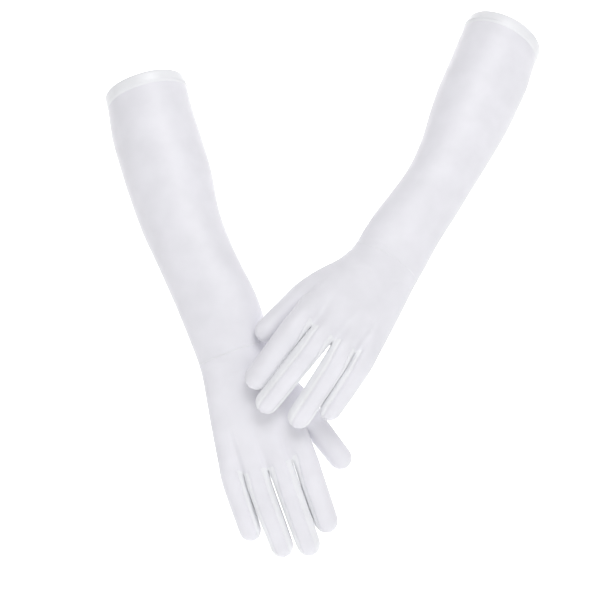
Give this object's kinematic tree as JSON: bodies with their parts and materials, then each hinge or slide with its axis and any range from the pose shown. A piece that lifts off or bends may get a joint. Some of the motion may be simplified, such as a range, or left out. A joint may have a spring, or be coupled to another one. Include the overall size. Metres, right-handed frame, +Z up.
{
  "type": "pair of elbow-length opera gloves",
  "caption": "Pair of elbow-length stretch-satin gloves in worn shape, with separate fingers, thumb gussets and turned hems, one hand laid over the other.",
  "frame": {"origin": "centre of the right glove's arm opening", "axes": "+Z up; -Y towards the viewer of the backs of both hands; +X from the right glove to the left one"},
  "size_m": [0.3957, 0.2161, 0.4863],
  "materials": {
    "satin": "satin",
    "bright_satin": "satin",
    "thread": "matte"
  },
  "bodies": {
    "right_arm": {"right_sleeve": "satin", "right_sleeve_seam": "thread", "right_hem": "bright_satin", "right_hem_stitch": "thread", "right_wrist_seam": "thread"},
    "right_hand": {"right_hand_back": "satin", "right_hand_palm": "satin", "right_side_seam": "thread", "right_thumb_gusset": "satin", "right_crotch_quirks": "bright_satin"},
    "right_thumb": {"right_thumb_stall": "satin", "right_thumb_seam": "thread"},
    "right_index": {"right_index_wrap": "satin", "right_index_fourchette": "bright_satin", "right_index_seams": "thread"},
    "right_middle": {"right_middle_back": "satin", "right_middle_palm": "satin", "right_middle_fourchette_a": "bright_satin", "right_middle_fourchette_b": "bright_satin", "right_middle_seams": "thread"},
    "right_ring": {"right_ring_back": "satin", "right_ring_palm": "satin", "right_ring_fourchette_a": "bright_satin", "right_ring_fourchette_b": "bright_satin", "right_ring_seams": "thread"},
    "right_little": {"right_little_back": "satin", "right_little_palm": "satin", "right_little_fourchette": "bright_satin", "right_little_seams": "thread"},
    "left_arm": {"left_sleeve": "satin", "left_sleeve_seam": "thread", "left_hem": "bright_satin", "left_hem_stitch": "thread", "left_wrist_seam": "thread"},
    "left_hand": {"left_hand_back": "satin", "left_hand_palm": "satin", "left_side_seam": "thread", "left_thumb_gusset": "satin", "left_crotch_quirks": "bright_satin"},
    "left_thumb": {"left_thumb_stall": "satin", "left_thumb_seam": "thread"},
    "left_index": {"left_index_wrap": "satin", "left_index_fourchette": "bright_satin", "left_index_seams": "thread"},
    "left_middle": {"left_middle_back": "satin", "left_middle_palm": "satin", "left_middle_fourchette_a": "bright_satin", "left_middle_fourchette_b": "bright_satin", "left_middle_seams": "thread"},
    "left_ring": {"left_ring_back": "satin", "left_ring_palm": "satin", "left_ring_fourchette_a": "bright_satin", "left_ring_fourchette_b": "bright_satin", "left_ring_seams": "thread"},
    "left_little": {"left_little_back": "satin", "left_little_palm": "satin", "left_little_fourchette": "bright_satin", "left_little_seams": "thread"}
  },
  "joints": [
    {"name": "right_wrist", "type": "hinge", "parent": "right_arm", "child": "right_hand", "pos_m": [0.07367, -0.0766, -0.23948], "axis": [0.9285, 0, 0.3714], "range_deg": [0, 16]},
    {"name": "right_index_bend", "type": "hinge", "parent": "right_hand", "child": "right_index", "pos_m": [0.14289, -0.08723, -0.32438], "axis": [0.9482, -0.006, 0.3176], "range_deg": [0, 45]},
    {"name": "right_middle_bend", "type": "hinge", "parent": "right_hand", "child": "right_middle", "pos_m": [0.12323, -0.08899, -0.33476], "axis": [0.942, -0.004, 0.3356], "range_deg": [0, 45]},
    {"name": "right_ring_bend", "type": "hinge", "parent": "right_hand", "child": "right_ring", "pos_m": [0.10171, -0.08822, -0.34075], "axis": [0.942, -0.004, 0.3356], "range_deg": [0, 45]},
    {"name": "right_little_bend", "type": "hinge", "parent": "right_hand", "child": "right_little", "pos_m": [0.08138, -0.08502, -0.34273], "axis": [0.9498, -0.0066, 0.3127], "range_deg": [0, 45]},
    {"name": "right_thumb_bend", "type": "hinge", "parent": "right_hand", "child": "right_thumb", "pos_m": [0.15351, -0.07426, -0.29962], "axis": [0.7907, 0.0288, 0.6115], "range_deg": [0, 25]},
    {"name": "left_wrist", "type": "hinge", "parent": "left_arm", "child": "left_hand", "pos_m": [0.21392, -0.04121, -0.15932], "axis": [-0.809, 0, 0.5878], "range_deg": [0, 16]},
    {"name": "left_index_bend", "type": "hinge", "parent": "left_hand", "child": "left_index", "pos_m": [0.1374, -0.10305, -0.20837], "axis": [-0.8007, 0.0105, 0.599], "range_deg": [0, 25]},
    {"name": "left_middle_bend", "type": "hinge", "parent": "left_hand", "child": "left_middle", "pos_m": [0.15456, -0.10574, -0.22219], "axis": [-0.7789, 0.0367, 0.6261], "range_deg": [0, 25]},
    {"name": "left_ring_bend", "type": "hinge", "parent": "left_hand", "child": "left_ring", "pos_m": [0.17395, -0.10383, -0.23418], "axis": [-0.8362, -0.0367, 0.5472], "range_deg": [0, 25]},
    {"name": "left_little_bend", "type": "hinge", "parent": "left_hand", "child": "left_little", "pos_m": [0.19162, -0.09831, -0.24293], "axis": [-0.8302, -0.0283, 0.5567], "range_deg": [0, 25]},
    {"name": "left_thumb_bend", "type": "hinge", "parent": "left_hand", "child": "left_thumb", "pos_m": [0.13132, -0.0796, -0.19487], "axis": [-0.7489, 0.5932, 0.2955], "range_deg": [0, 20]},
    {"name": "left_glove_lift", "type": "slide", "parent": "right_arm", "child": "left_arm", "axis": [0, -1, 0], "range_m": [0, 0.15]}
  ]
}
